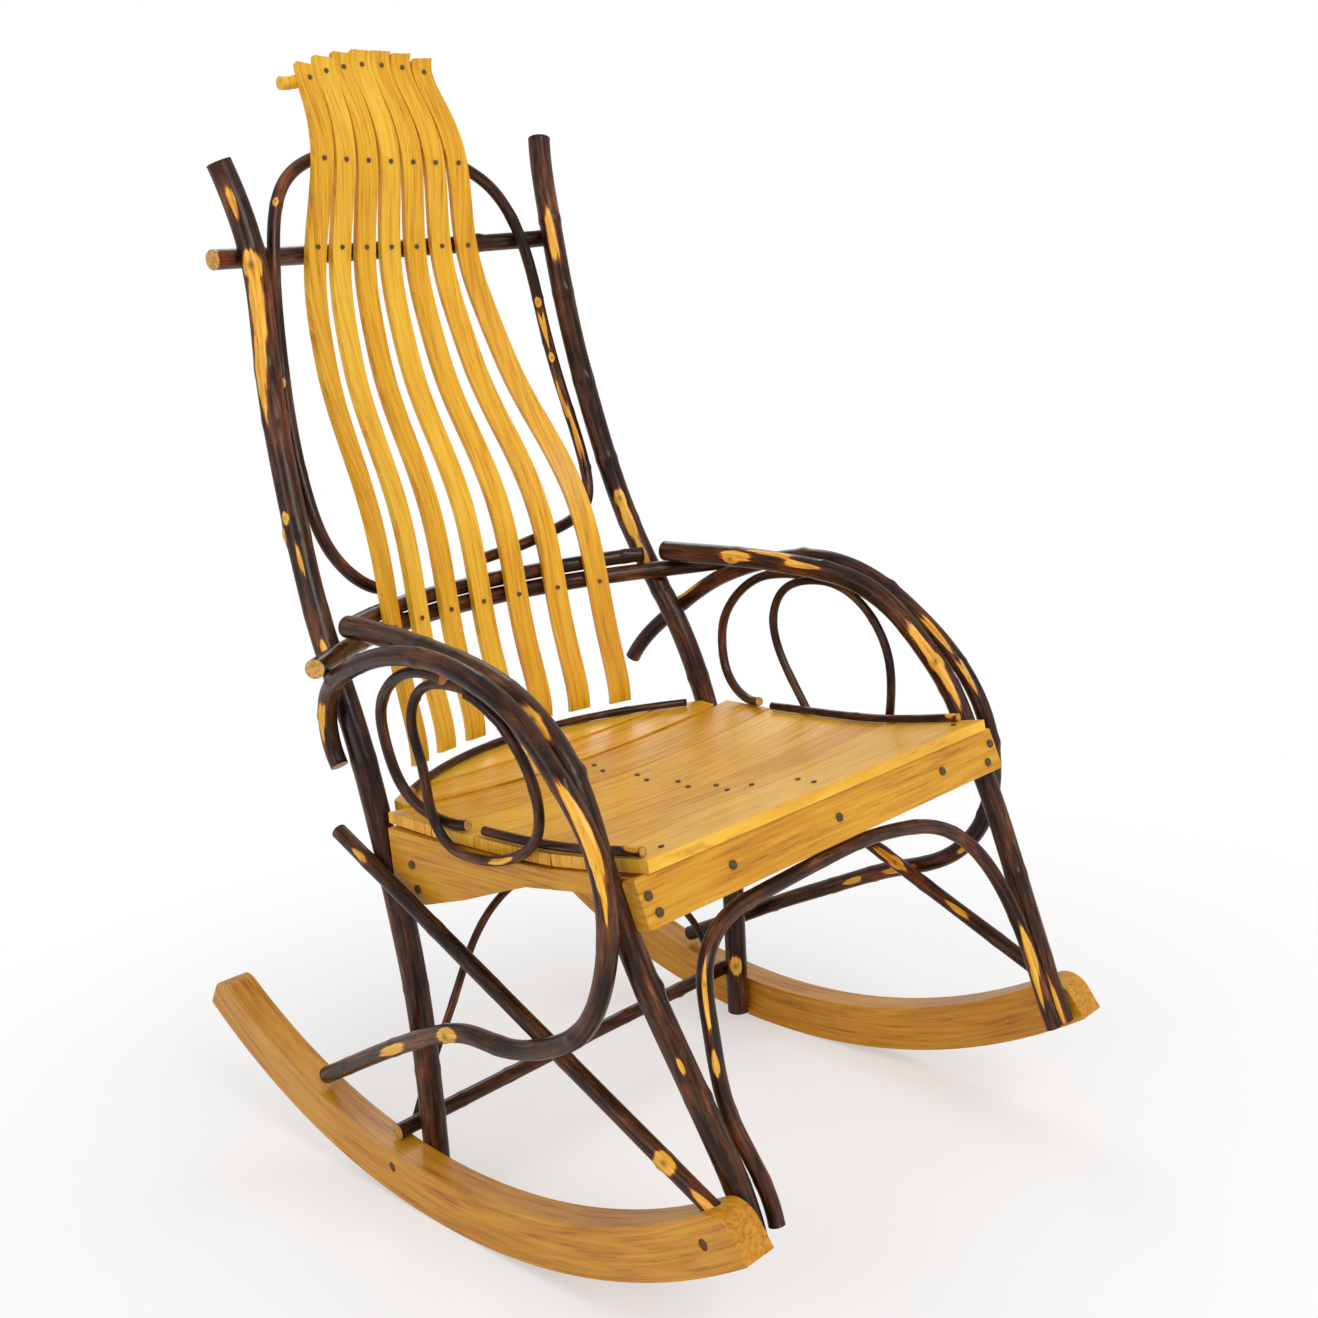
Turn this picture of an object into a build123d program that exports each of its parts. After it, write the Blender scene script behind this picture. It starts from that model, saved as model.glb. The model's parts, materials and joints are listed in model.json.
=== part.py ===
from build123d import *
from math import asin, degrees, sqrt
import os

# Rustic bentwood rocking chair: sapling frame, oak slats and rockers.
#
# Millimetres, +Z up, the sitter faces -Y, the rockers touch the floor at z = 0.

os.makedirs("parts", exist_ok=True)

FIT = 0.3  # gap left between pieces that bear on each other

# rockers
ROCKER_R = 760
ROCKER_Y = 39.6
ROCKER_DEPTH = 50
ROCKER_THICK = 34
ROCKER_OUT = 29
FRONT_TIP = -372
REAR_TIP = 470
FRONT_ROUND = 26
REAR_ROUND = 24

# sapling diameters
POST_D = 27
LEG_D = 24
ARM_D = 19
BRACE_D = 16.5
RAIL_D = 20
LUMBAR_D = 18
TOP_RAIL_D = 21
HOOP_D = 15
BACK_HOOP_D = 14
STRETCHER_D = 17
THIN_HOOP_D = 9
TWIG_D = 11
RING_D = 10
TRIM_D = 9
TRIM_INSET = 7

# seat boards: edges (y, height at the sides) from front to rear, and dish at the middle
SEAT_LINES = [(-268, 432), (-190, 421), (-145, 416), (-93, 414), (-37, 414),
              (28, 414), (98, 417), (146, 423), (200, 432)]
SEAT_DISH = [0, 6, 11, 14, 15, 15, 13, 11]
BOARD_INSET = 4
REAR_INSET = 27
BOARD = 11
BOARD_GAP = 1.2
REAR_BOW_Y = 200

SIDE_OUTER = 256
SEAT_HALF = SIDE_OUTER - BOARD_INSET
SEAT_REAR_HALF = SIDE_OUTER - REAR_INSET
ROCKER_OUTER = SIDE_OUTER + ROCKER_OUT
ROCKER_INNER = ROCKER_OUTER - ROCKER_THICK
ROCKER_MID = ROCKER_OUTER - ROCKER_THICK / 2
SIDE_THICK = 19
SIDE_REAR = 96
SIDE_FRONT = -247
RAIL_POST_X = SIDE_OUTER - 24
RAIL_MID_Y = 252
RAIL_SAG = 86.1184
BOW = RAIL_SAG / RAIL_POST_X ** 2

# back slats, by height: pitch, front face of the outer slats, bow of the middle slat
SLAT_W = 26
SLAT_T = 7.5
SLAT_LINES = [(430, 50, 176, 34), (500, 50, 184, 35), (578, 50, 195.6, 36), (653, 49, 206, 33),
              (760, 45.5, 250, 26), (867, 41, 299, 18), (935, 37.5, 316, 12),
              (1010, 33.3, 314, 8), (1077, 30.3, 303, 6), (1130, 28, 314, 5)]
SLAT_TOPS = [1176, 1186, 1193, 1198, 1199, 1198, 1194]
SLAT_TOP_PITCH = 27
SLAT_LEAN = 0.31

NAIL_R = 2.6
NAIL_INSET = 24
NAIL_H = 1.4
SCREW_R = 4.2
SCREW_H = 1.6


def save(piece, name):
    """Write one piece, moved so that the rockers touch the floor at y = 0."""
    piece.part = piece.part.moved(Location((0, -ROCKER_Y, 0)))
    piece.part.label = name
    export_step(piece.part, f"parts/{name}.step")


def pole(name, diameter, route):
    """A bent sapling of even thickness along a smooth route."""
    with BuildPart() as sapling:
        with BuildLine() as path:
            Spline(*route)
        with BuildSketch(Plane(origin=path.line @ 0, z_dir=path.line % 0)):
            Circle(diameter / 2)
        sweep(path=path.line)
    save(sapling, name)


def surface_plane(part, start, direction):
    """Plane on the first face that a straight line meets, facing out of it."""
    point, normal = part.find_intersection_points(Axis(start, direction))[0]
    return Plane(origin=point, z_dir=normal)


def heads(name, radius, height, places):
    """Nail or screw heads, one on each plane."""
    with BuildPart() as group:
        for place in places:
            with BuildSketch(place.offset(FIT)):
                Circle(radius)
            extrude(amount=height)
    save(group, name)


def mirrored(side, route):
    """Route given by its distance out from the seat's side, put on the wanted side."""
    return [(side * (SIDE_OUTER + out), y, z) for out, y, z in route]


def rocker_top(y):
    return ROCKER_R - sqrt((ROCKER_R - ROCKER_DEPTH) ** 2 - (y - ROCKER_Y) ** 2)


def rocker_low(y):
    return ROCKER_R - sqrt(ROCKER_R ** 2 - (y - ROCKER_Y) ** 2)


def rail_y(x):
    """Bowed line of the lower back rail between the posts."""
    return RAIL_MID_Y - BOW * x * x


SIDES = [("left", 1), ("right", -1)]

# rockers, with a bored seat for the foot of each side brace and two plugged holes
BRACE_OUT = POST_D / 2 + FIT + BRACE_D / 2 - 9.5
BRACE_X = SIDE_OUTER + BRACE_OUT
BRACE_REAR = (BRACE_OUT, 166, 391)
BRACE_FRONT = (BRACE_OUT, -330, rocker_top(-330) - 10)
PLUGS = [(125, rocker_low(125) + 32), (-325, rocker_low(-325) + 30)]
PLUG_R = 5
PLUG_DEEP = 4

for side_name, side in SIDES:
    front = degrees(asin((ROCKER_Y - FRONT_TIP) / ROCKER_R))
    rear = degrees(asin((REAR_TIP - ROCKER_Y) / ROCKER_R))
    with BuildPart() as rocker:
        with BuildSketch(Plane.YZ.offset(side * ROCKER_MID)):
            with BuildLine():
                low = CenterArc((ROCKER_Y, ROCKER_R), ROCKER_R, 270 - front, front + rear)
                high = CenterArc((ROCKER_Y, ROCKER_R), ROCKER_R - ROCKER_DEPTH,
                                 270 - front, front + rear)
                Line(low @ 0, high @ 0)
                Line(low @ 1, high @ 1)
            make_face()
        extrude(amount=ROCKER_THICK / 2, both=True)
        tips = rocker.edges().filter_by(Axis.X).sort_by(Axis.Y)
        fillet(tips[:2].sort_by(Axis.Z)[1], FRONT_ROUND)
        tips = rocker.edges().filter_by(Axis.X).sort_by(Axis.Y)
        fillet(tips[-2:].sort_by(Axis.Z)[1], REAR_ROUND)
        brace_dir = Vector(*BRACE_REAR) - Vector(*BRACE_FRONT)
        brace_dir = Vector(0, brace_dir.Y, brace_dir.Z)
        foot = Plane(origin=(side * BRACE_X, BRACE_FRONT[1], BRACE_FRONT[2]), z_dir=brace_dir)
        with BuildSketch(foot.offset(-1)):
            Circle(BRACE_D / 2 + FIT)
        extrude(amount=90, mode=Mode.SUBTRACT)
        for y, z in PLUGS:
            with BuildSketch(Plane.YZ.offset(side * ROCKER_OUTER)):
                with Locations((y, z)):
                    Circle(PLUG_R + FIT)
            extrude(amount=-side * PLUG_DEEP, mode=Mode.SUBTRACT)
    save(rocker, f"rocker_{side_name}")

with BuildPart() as plugs:
    for side_name, side in SIDES:
        for y, z in PLUGS:
            with BuildSketch(Plane.YZ.offset(side * (ROCKER_OUTER - PLUG_DEEP + FIT))):
                with Locations((y, z)):
                    Circle(PLUG_R)
            extrude(amount=side * (PLUG_DEEP - 1.2))
save(plugs, "rocker_plugs")

# back posts
POST_FOOT_OUT = ROCKER_INNER - FIT - POST_D / 2 - SIDE_OUTER
pole("back_post_left", POST_D, mirrored(1, [
    (POST_FOOT_OUT, 108, rocker_low(108) + 9), (POST_FOOT_OUT + 0.5, 104, 105), (-15, 102, 220),
    (-11, 107, 310),
    (-9.5, 118, 370), (-12, 137, 450), (-16, 163, 520), (-20, 192.5, 578), (-27, 226, 660),
    (-35, 250, 756), (-43, 268, 860), (-48, 281, 975), (-44, 292, 1035), (-36, 304, 1075),
    (-28, 312, 1108)]))
pole("back_post_right", POST_D, mirrored(-1, [
    (POST_FOOT_OUT, 113, rocker_low(113) + 9), (POST_FOOT_OUT + 0.5, 109, 105), (-14, 104, 225),
    (-9.5, 118, 370), (-15.5, 164, 515), (-20, 196, 578), (-30, 239, 700), (-42, 271, 860),
    (-48, 281, 975), (-44, 290, 1022), (-34, 297, 1066)]))

# front legs, each bending back at the top into the inner arm pole
LEG_FOOT_OUT = ROCKER_INNER - FIT - LEG_D / 2 - 0.8 - SIDE_OUTER
LEG_OUT = FIT + LEG_D / 2
pole("front_leg_left", LEG_D, mirrored(1, [
    (LEG_FOOT_OUT, -354, rocker_low(-354) + 9), (LEG_FOOT_OUT + 0.3, -342, 152), (-11, -321, 205),
    (0, -293, 270),
    (9, -266, 335), (LEG_OUT, -248.4, 376), (LEG_OUT + 0.6, -234.5, 412), (14, -218, 450),
    (13, -186, 498), (12, -148, 540), (8, -98, 571), (-1, -30, 587), (-12, 40, 596),
    (-22, 110, 601), (-26, 160, 603.5)]))
pole("front_leg_right", LEG_D, mirrored(-1, [
    (LEG_FOOT_OUT, -338, rocker_low(-338) + 9), (LEG_FOOT_OUT + 0.3, -326, 148), (-11.5, -310, 196),
    (-1, -289, 260),
    (8, -266, 325), (LEG_OUT, -248.4, 376), (LEG_OUT + 0.6, -234.5, 412), (14, -224, 450),
    (14, -204, 502), (13, -164, 545), (9, -110, 570), (-1, -30, 584), (-12, 40, 590),
    (-22, 110, 594), (-26, 160, 596)]))

# outer arm loops: hooked behind the post, along the arm, down and back to the rocker
pole("arm_loop_left", ARM_D, mirrored(1, [
    (-4, 257, 459), (2, 228, 492), (8, 197, 516), (13, 162, 539), (21, 127, 560),
    (30, 85, 576), (36, 30, 588), (38, -35, 590), (38, -100, 571), (39, -150, 538),
    (40, -202, 488), (41, -236, 430), (41, -246, 370), (38, -232, 303), (34, -190, 257),
    (31.6, -110, 226), (27, -40, 198), (20, 60, 155), (15, 140, 117),
    (12.5, 214, rocker_top(214) + ARM_D / 2 + 1.5)]))
pole("arm_loop_right", ARM_D, mirrored(-1, [
    (11.5, 150, 462), (12, 160, 497), (15, 151, 528), (21, 127, 549.6), (29, 85, 569),
    (35, 25, 587), (37, -40, 593), (38, -105, 583), (39, -172, 552), (40, -215, 509),
    (41, -254, 452), (42, -263, 400), (40, -250, 343), (36, -212, 284), (32, -150, 248),
    (30.8, -95, 233), (29, -40, 230), (25, 25, 210), (19, 95, 178), (14, 180, 135),
    (12.5, 258, rocker_top(258) + ARM_D / 2 + 1)]))

# straight side braces and the cross pieces
for side_name, side in SIDES:
    with BuildPart() as brace:
        with BuildLine() as path:
            Line(*mirrored(side, [BRACE_FRONT, BRACE_REAR]))
        with BuildSketch(Plane(origin=path.line @ 0, z_dir=path.line % 0)):
            Circle(BRACE_D / 2)
        sweep(path=path.line)
    save(brace, f"side_brace_{side_name}")

HOOP_X = SIDE_OUTER + LEG_FOOT_OUT - LEG_D / 2 - FIT - HOOP_D / 2 - 0.8
pole("front_hoop", HOOP_D, [
    (-HOOP_X, -346, rocker_low(-346) + 9), (-HOOP_X, -335, 148),
    (-HOOP_X - 4.7, -308, 202), (-HOOP_X - 5.7, -294, 282), (-HOOP_X + 5.3, -284, 332),
    (-178, -275, 355), (-120, -270, 362), (-30, -268, 364.4),
    (50, -268, 363.5), (115, -270, 354), (170, -276, 333), (HOOP_X - 11.3, -291, 292),
    (HOOP_X + 1.7, -314, 236),
    (HOOP_X + 0.5, -334, 186), (HOOP_X, -346, 148),
    (HOOP_X, -356, rocker_low(-356) + 9)])

STRETCHER_Y = 131
STRETCHER_LIFT = STRETCHER_D / 2 + FIT + 0.5
pole("rear_stretcher", STRETCHER_D, [
    (-SIDE_OUTER - 11, STRETCHER_Y + 3, rocker_top(STRETCHER_Y + 3) + STRETCHER_LIFT),
    (0, STRETCHER_Y, rocker_top(STRETCHER_Y) + STRETCHER_LIFT + 1.5),
    (SIDE_OUTER + 8, STRETCHER_Y - 3, rocker_top(STRETCHER_Y - 3) + STRETCHER_LIFT)])
THIN_Y = STRETCHER_Y + (STRETCHER_D + THIN_HOOP_D) / 2 + 1
pole("rear_hoop", THIN_HOOP_D, [
    (20 - SIDE_OUTER, THIN_Y + 3, 58), (44 - SIDE_OUTER, THIN_Y + 1, 105), (-166, THIN_Y + 4, 172),
    (-112, THIN_Y + 6, 245), (-40, THIN_Y + 8, 274), (40, THIN_Y + 7, 249),
    (128, THIN_Y + 5, 203), (190, THIN_Y + 2, 158), (SIDE_OUTER - 34, THIN_Y, 104),
    (SIDE_OUTER - 24, THIN_Y, 56)])

# bowed back rails: lower rail, lumbar rail lying on it, and the top rail behind the posts
RAIL_Z = 577
pole("lower_back_rail", RAIL_D, [
    (-SIDE_OUTER - 48, 112, RAIL_Z - 5), (-RAIL_POST_X, rail_y(RAIL_POST_X), RAIL_Z - 4),
    (-150, rail_y(150), RAIL_Z - 3), (0, rail_y(0), RAIL_Z), (150, rail_y(150), RAIL_Z + 3),
    (RAIL_POST_X, rail_y(RAIL_POST_X), RAIL_Z + 4), (SIDE_OUTER + 46, 114, RAIL_Z + 5)])
LUMBAR_LIFT = (RAIL_D + LUMBAR_D) / 2 + 0.5
LUMBAR_HALF = SIDE_OUTER - 43
pole("lumbar_rail", LUMBAR_D, [
    (-LUMBAR_HALF, rail_y(LUMBAR_HALF) + 1.6, RAIL_Z - 4 + LUMBAR_LIFT),
    (-120, rail_y(120) + 1.6, RAIL_Z - 2 + LUMBAR_LIFT),
    (0, rail_y(0) + 1.6, RAIL_Z + LUMBAR_LIFT), (120, rail_y(120) + 1.6, RAIL_Z + 3 + LUMBAR_LIFT),
    (LUMBAR_HALF, rail_y(LUMBAR_HALF) + 1.6, RAIL_Z + 5 + LUMBAR_LIFT)])
TOP_RAIL_POST_X = SIDE_OUTER - 48
TOP_RAIL_END_Y = 281 + (POST_D + TOP_RAIL_D) / 2 + FIT + 1
pole("top_back_rail", TOP_RAIL_D, [
    (-TOP_RAIL_POST_X - 36, TOP_RAIL_END_Y - 9, 970), (-TOP_RAIL_POST_X, TOP_RAIL_END_Y, 972),
    (-105, 338.5, 978), (0, 347, 983), (105, 337, 987),
    (TOP_RAIL_POST_X, TOP_RAIL_END_Y + 2.4, 990),
    (TOP_RAIL_POST_X + 18, TOP_RAIL_END_Y - 2, 991)])

# light hoop behind the slats
pole("back_hoop", BACK_HOOP_D, [
    (-122, 240, 614), (-160, 234, 628), (-188, 240, 664), (-197, 254, 715), (-193, 276, 800),
    (-184, 290, 890), (-171, 297.5, 985), (-140, 310, 1050), (-90, 318.9, 1078),
    (0, 325.9, 1086), (90, 318.9, 1078), (140, 310, 1050), (171, 297.5, 985), (185, 290, 890),
    (194, 276, 800),
    (198, 256, 720), (184, 243, 668), (130, 243, 643), (76, 252, 630), (26, 257, 623)])
# seven back slats fanning out towards the seat, nailed to the rails and hoop behind them
NAIL_ROWS = [(578, 50), (984, 34.6), (1075, 30.4)]
TOP_NAIL_DROP = 14
CREST_DROP = 12
CREST_ENDS = (30, 17)
slat_nails = []
crest = []
for n in range(7):
    i = n - 3
    share = 1 - (i / 3) ** 2
    top = SLAT_TOPS[n]
    lines = SLAT_LINES + [(top, SLAT_TOP_PITCH, 314 + (top - 1130) * SLAT_LEAN, 4)]
    with BuildPart() as slat:
        for k, (z, pitch, y, bow) in enumerate(lines):
            before, after = lines[max(k - 1, 0)], lines[min(k + 1, len(lines) - 1)]
            up = Vector(i * (after[1] - before[1]),
                        after[2] - before[2] + share * (after[3] - before[3]),
                        after[0] - before[0])
            across = Vector(1, -2 * bow * i / (9 * pitch), 0)
            place = Plane(origin=(i * pitch, y + share * bow + SLAT_T / 2, z),
                          x_dir=across, z_dir=up)
            with BuildSketch(place):
                Rectangle(SLAT_W, SLAT_T)
        loft()
    for z, pitch in NAIL_ROWS + [(top - TOP_NAIL_DROP, SLAT_TOP_PITCH)]:
        slat_nails.append(surface_plane(slat.part, (i * pitch, -100, z), (0, 1, 0)))
    behind = surface_plane(slat.part, (i * SLAT_TOP_PITCH, 500, top - CREST_DROP), (0, -1, 0))
    crest.append(behind.offset(BACK_HOOP_D / 2 + FIT + 0.2).origin)
    save(slat, f"back_slat_{n + 1}")
heads("back_nails", NAIL_R, NAIL_H, slat_nails)

# crest pole behind the slat tips, running past the outer slats
crest = [crest[0] - Vector(CREST_ENDS[0], 4, 6), *crest, crest[-1] + Vector(CREST_ENDS[1], -2, -3)]
pole("crest_rail", BACK_HOOP_D, crest)

# seat: front rail, side rails, rear and middle rails, dished boards
RAIL_FACE_TOP = (-263.4, 419.7)
RAIL_FACE_LOW = (-278, 378)
FRONT_RAIL_T = 16
FRONT_RAIL_HALF = SIDE_OUTER + 10
face_dir = Vector(0, RAIL_FACE_TOP[0] - RAIL_FACE_LOW[0], RAIL_FACE_TOP[1] - RAIL_FACE_LOW[1])
FRONT_FACE = Plane(origin=(0, *RAIL_FACE_LOW), x_dir=(1, 0, 0),
                   z_dir=Vector(1, 0, 0).cross(face_dir))
with BuildPart() as front_rail:
    with BuildSketch(FRONT_FACE):
        with Locations((0, face_dir.length / 2)):
            RectangleRounded(2 * FRONT_RAIL_HALF, face_dir.length, 4)
    extrude(amount=-FRONT_RAIL_T)
save(front_rail, "seat_front_rail")
SCREW_INSET = 9
outer = FRONT_RAIL_HALF - SCREW_INSET
FRONT_SCREWS = [(-outer, 27), (6 - outer, 11), (-155, 22), (-5, 22), (165, 22),
                (outer - 14, 11), (outer, 28)]
rail_screws = [FRONT_FACE.shift_origin(FRONT_FACE.from_local_coords((x, h))) for x, h in FRONT_SCREWS]



def under_boards(x):
    """Line just below the boards at one distance from the middle, front to rear."""
    line = []
    for k in range(1, len(SEAT_DISH)):
        y, z = SEAT_LINES[k]
        dish = max(SEAT_DISH[k - 1], SEAT_DISH[k]) * (1 - (x / SEAT_HALF) ** 2)
        line.append((y, z - dish - BOARD - 2 * FIT))
    return line


side_top = [(y, z) for y, z in under_boards(SIDE_OUTER - SIDE_THICK) if y < SIDE_REAR]
side_low = [(SIDE_REAR, 333), (48, 331), (-17, 349), (-67, 366), (-110, 380), (-219, 394)]
for side_name, side in SIDES:
    with BuildPart() as side_rail:
        with BuildSketch(Plane.YZ.offset(side * (SIDE_OUTER - SIDE_THICK / 2))):
            with BuildLine():
                Polyline((SIDE_FRONT, 396), (SIDE_FRONT, 413), *side_top, (SIDE_REAR, 402),
                         *side_low, close=True)
            make_face()
        extrude(amount=SIDE_THICK / 2, both=True)
    save(side_rail, f"seat_side_rail_{side_name}")
    for y, z in [(62, 370), (57, 346)]:
        rail_screws.append(Plane(origin=(side * SIDE_OUTER, y, z), z_dir=(side, 0, 0)))
heads("rail_screws", SCREW_R, SCREW_H, rail_screws)

REAR_RAIL_Y = 60
REAR_RAIL_T = 19
MID_RAIL_W = 34
MID_RAIL_TOP = 387
with BuildPart() as rear_rail:
    with Locations((0, REAR_RAIL_Y, 363)):
        Box(2 * (SIDE_OUTER - SIDE_THICK - FIT), REAR_RAIL_T, 44)
    with Locations((0, REAR_RAIL_Y, 385)):
        Box(MID_RAIL_W + 2 * FIT, REAR_RAIL_T, 20, mode=Mode.SUBTRACT)
save(rear_rail, "seat_rear_rail")
with BuildPart() as mid_rail:
    with BuildSketch(Plane.YZ.offset(0)):
        with BuildLine():
            Polyline((-246, 378), (-244, 402), *under_boards(0), (180, 405.8), (180, 390),
                     (90, 375.5), (-100, 375.5), (-200, 380), close=True)
        make_face()
    extrude(amount=MID_RAIL_W / 2, both=True)
save(mid_rail, "seat_middle_rail")

seat_nails = []
for n, dish in enumerate(SEAT_DISH):
    (y0, z0), (y1, z1) = SEAT_LINES[n], SEAT_LINES[n + 1]
    half = SEAT_HALF if y1 < 100 else SEAT_REAR_HALF
    along = Vector(0, y0 - y1, z0 - z1)
    with BuildPart() as board:
        with BuildSketch(Plane(origin=(0, y1, z1), x_dir=(1, 0, 0), z_dir=along)):
            with BuildLine():
                if dish:
                    ThreePointArc((-half, 0), (0, -dish), (half, 0))
                    ThreePointArc((-half, -BOARD), (0, -dish - BOARD), (half, -BOARD))
                else:
                    Line((-half, 0), (half, 0))
                    Line((-half, -BOARD), (half, -BOARD))
                Line((-half, 0), (-half, -BOARD))
                Line((half, 0), (half, -BOARD))
            make_face()
        extrude(amount=along.length - BOARD_GAP)
        if y1 > 100:
            with BuildSketch(Plane.XY.offset(390)):
                with BuildLine():
                    edge = ThreePointArc((-260, REAR_BOW_Y - BOW * 260 ** 2), (0, REAR_BOW_Y),
                                         (260, REAR_BOW_Y - BOW * 260 ** 2))
                    Polyline(edge @ 0, (-260, 300), (260, 300), edge @ 1)
                make_face()
            extrude(amount=60, mode=Mode.SUBTRACT)
    spots = [(-4, -11), (5, 12)]
    if n == 0:
        spots = [(NAIL_INSET + 13 - SEAT_HALF, -18), (-4, -14), (6, 14),
                 (SEAT_HALF - NAIL_INSET, -16)]
    for x, forward in spots[:4 if n < 7 else 1]:
        start = (x, (y0 + y1) / 2 + forward, 600)
        seat_nails.append(surface_plane(board.part, start, (0, 0, -1)))
    save(board, f"seat_board_{n + 1}")
heads("seat_nails", NAIL_R, NAIL_H, seat_nails)

# twigs in the arm openings
RING_OUT = FIT + RING_D / 2 + 0.7
pole("arm_twig_left", TWIG_D, mirrored(1, [
    (-10, 40, 422.5), (0, 80, 428), (7, 104, 450), (11, 112, 485), (14, 108, 515),
    (19, 88, 545), (23, 55, 566), (25, 15, 572), (25, -15, 571)]))
pole("arm_twig_right", TWIG_D, mirrored(-1, [
    (-10, -22, 420.8), (-3, 18, 424.5), (4, 50, 446), (10, 65, 492), (15, 60, 527),
    (20, 38, 553), (24, 0, 572), (25, -30, 576), (25, -58, 572)]))
pole("arm_ring_left", RING_D, mirrored(1, [
    (RING_OUT, -28, 396), (RING_OUT, -14, 424), (8, 4, 452), (10, 24, 495), (11, 26, 524),
    (14, 12, 553), (14.5, -21, 566.5), (16, -56, 566), (14, -92, 552), (11, -121, 525),
    (9, -139, 485), (RING_OUT, -142, 448), (RING_OUT, -134, 400)]))
pole("arm_ring_right", RING_D, mirrored(-1, [
    (21, -84, 560), (18, -118, 540), (14, -144, 505), (10, -152, 468), (RING_OUT, -140, 432),
    (RING_OUT, -104, 408), (RING_OUT, -45, 398), (RING_OUT, -8, 406), (7, 9, 432), (8, 14, 480),
    (9, 21, 520), (10, 4, 550), (12, -38, 563), (13, -95, 556), (RING_OUT, -147, 531)]))

def trim_route(side, ys):
    """Line of a pole lying along the seat edge, over the given stations."""
    route = []
    for y in ys:
        (y0, z0), (y1, z1) = [(a, b) for a, b in zip(SEAT_LINES, SEAT_LINES[1:])
                              if a[0] <= y <= b[0]][0]
        z = z0 + (z1 - z0) * (y - y0) / (y1 - y0)
        route.append((side * (SEAT_HALF - TRIM_INSET), y, z + TRIM_D / 2 + FIT + 0.3))
    return route


# pole trims lying on the seat edge
pole("seat_trim_left", TRIM_D, trim_route(1, [-240, -200, -160, -100, -40, 20]))
pole("seat_trim_right", TRIM_D, trim_route(-1, [-256, -200, -160, -100, -45]))
pole("seat_trim_rear", TRIM_D, [
    (-205, 122, 422.6), (-100, 174, 424.2), (0, 190, 424.5), (100, 174, 424.2),
    (205, 122, 422.6)])
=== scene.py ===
import bpy
import json
import math
import random
import numpy as np
from mathutils import Matrix, Vector


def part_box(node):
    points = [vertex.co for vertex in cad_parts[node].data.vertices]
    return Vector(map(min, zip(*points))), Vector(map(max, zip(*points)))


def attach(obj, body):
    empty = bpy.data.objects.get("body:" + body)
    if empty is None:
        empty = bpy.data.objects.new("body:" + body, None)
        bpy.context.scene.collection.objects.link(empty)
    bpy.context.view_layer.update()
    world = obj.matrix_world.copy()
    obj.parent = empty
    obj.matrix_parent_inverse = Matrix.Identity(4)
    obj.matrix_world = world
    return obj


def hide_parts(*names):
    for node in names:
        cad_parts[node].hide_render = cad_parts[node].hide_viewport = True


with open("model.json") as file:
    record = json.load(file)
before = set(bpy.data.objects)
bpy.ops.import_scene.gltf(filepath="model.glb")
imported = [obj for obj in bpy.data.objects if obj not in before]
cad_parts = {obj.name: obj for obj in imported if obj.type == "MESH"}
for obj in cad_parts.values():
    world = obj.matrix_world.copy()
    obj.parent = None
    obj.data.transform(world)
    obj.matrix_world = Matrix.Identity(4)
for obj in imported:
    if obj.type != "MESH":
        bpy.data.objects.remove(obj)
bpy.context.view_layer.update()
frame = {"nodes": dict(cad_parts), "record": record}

MM = 0.001
nodes = frame["nodes"]
slots = {s["node"]: s["material_slot"] for s in frame["record"]["subparts"]}


# ---- materials -------------------------------------------------------------

def srgb(r, g, b):
    """A colour as seen on screen, 0 to 255, in Blender's linear values."""
    def linear(v):
        v /= 255
        return v / 12.92 if v <= 0.04045 else ((v + 0.055) / 1.055) ** 2.4
    return (linear(r), linear(g), linear(b), 1)


BLACK, WHITE = (0, 0, 0, 1), (1, 1, 1, 1)
VARNISH_ROUGHNESS = 0.16


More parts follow.
